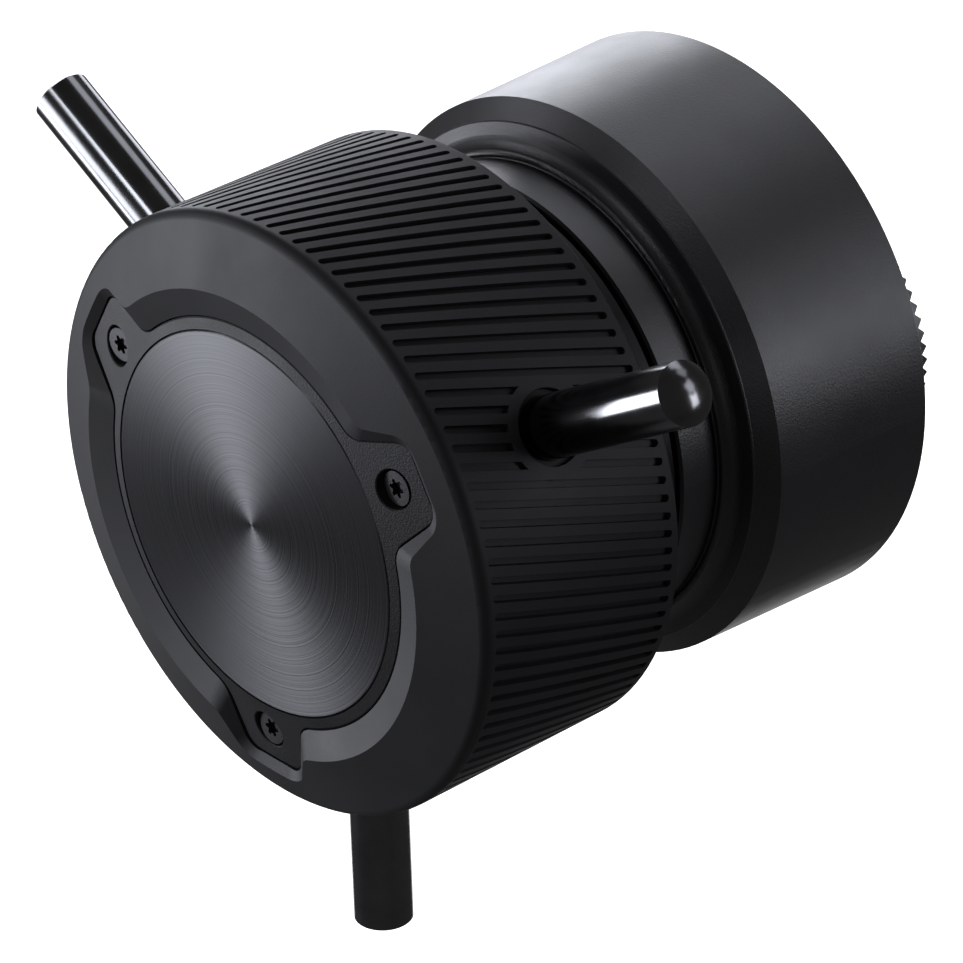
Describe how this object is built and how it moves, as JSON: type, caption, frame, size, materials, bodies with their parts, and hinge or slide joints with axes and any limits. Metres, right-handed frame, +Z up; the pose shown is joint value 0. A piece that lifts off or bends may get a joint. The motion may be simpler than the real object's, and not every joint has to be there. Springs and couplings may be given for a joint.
{
  "type": "focus demand",
  "caption": "Hand control for remote lens focus: a grooved wheel with polished radial rods turns on bearings in a round drum that clamps to a handle by a toothed rosette.",
  "frame": {"origin": "mouth of the mount's threaded hole, at the centre of the rosette", "axes": "+Y out of the mount's mouth and along the wheel axis, away from the wheel's face; +Z up; +X to the right seen from the wheel's face"},
  "size_m": [0.104, 0.0896, 0.0942],
  "materials": {
    "satin_charcoal": "bead-blasted and dark anodised, satin",
    "dark_anodised": "black anodised, satin",
    "blasted_trim": "sand-blasted, grey anodised",
    "spun_disc": "spun concentric grain, dark anodised",
    "plain_aluminium": "turned",
    "rosette_metal": "machined, dark anodised",
    "dark_chrome": "mirror-polished dark chrome",
    "bush_black": "moulded, matte",
    "board_green": "coated circuit board",
    "chip_black": "moulded, matte",
    "cable_amber": "flat flexible film",
    "cage_brass": "machined",
    "dark_screw": "blackened",
    "plain_steel": "machined"
  },
  "bodies": {
    "housing": {"base_screws": "plain_steel", "bearing_retainer": "plain_aluminium", "cover_screws": "plain_steel", "drum_housing": "satin_charcoal", "encoder_board": "board_green", "encoder_screws": "plain_steel", "encoder_standoffs": "cage_brass", "front_bearing_outer": "plain_steel", "main_board": "board_green", "main_board_screws": "plain_steel", "neck_screws": "plain_steel", "neck_sleeve": "dark_anodised", "preload_spring": "plain_steel", "processor_chip": "chip_black", "rear_bearing_outer": "plain_steel", "rear_cover": "dark_anodised", "retainer_screws": "plain_steel", "ribbon_cable": "cable_amber", "rosette_base": "dark_anodised", "rosette_ring": "rosette_metal", "rosette_screws": "plain_steel", "sensor_chip": "chip_black", "thread_insert": "plain_steel", "usb_socket_left": "plain_steel", "usb_socket_right": "plain_steel", "usb_tongue_left": "chip_black", "usb_tongue_right": "chip_black"},
    "wheel": {"grip_wheel": "satin_charcoal", "trim_plate": "blasted_trim", "centre_disc": "spun_disc", "trim_screws": "dark_screw", "rod_right": "dark_chrome", "rod_left": "dark_chrome", "rod_bottom": "dark_chrome", "rod_bush_right": "bush_black", "rod_bush_left": "bush_black", "rod_bush_bottom": "bush_black", "wheel_hub": "plain_aluminium", "hub_screws": "plain_steel", "back_plate": "dark_anodised", "back_plate_screws": "plain_steel", "spindle": "plain_steel", "drive_pin": "plain_steel", "spindle_washer": "plain_steel", "spindle_nut": "plain_steel", "spindle_circlip": "plain_steel", "front_bearing_inner": "plain_steel", "rear_bearing_inner": "plain_steel", "magnet_cup": "plain_aluminium", "encoder_magnet": "plain_steel"},
    "front_ball_set": {"front_balls": "plain_steel", "front_cage": "cage_brass"},
    "rear_ball_set": {"rear_balls": "plain_steel", "rear_cage": "cage_brass"}
  },
  "joints": [
    {"name": "wheel_spin", "type": "hinge", "parent": "housing", "child": "wheel", "pos_m": [0, -0.07165, 0.0083], "axis": [0, 1, 0], "continuous": true},
    {"name": "front_balls_orbit", "type": "hinge", "parent": "housing", "child": "front_ball_set", "pos_m": [0, -0.0539, 0.0083], "axis": [0, 1, 0], "continuous": true},
    {"name": "rear_balls_orbit", "type": "hinge", "parent": "housing", "child": "rear_ball_set", "pos_m": [0, -0.0361, 0.0083], "axis": [0, 1, 0], "continuous": true}
  ],
  "couplings": [
    {"joint": "front_balls_orbit", "follows": "wheel_spin", "ratio": 0.43846},
    {"joint": "rear_balls_orbit", "follows": "wheel_spin", "ratio": 0.43846}
  ]
}
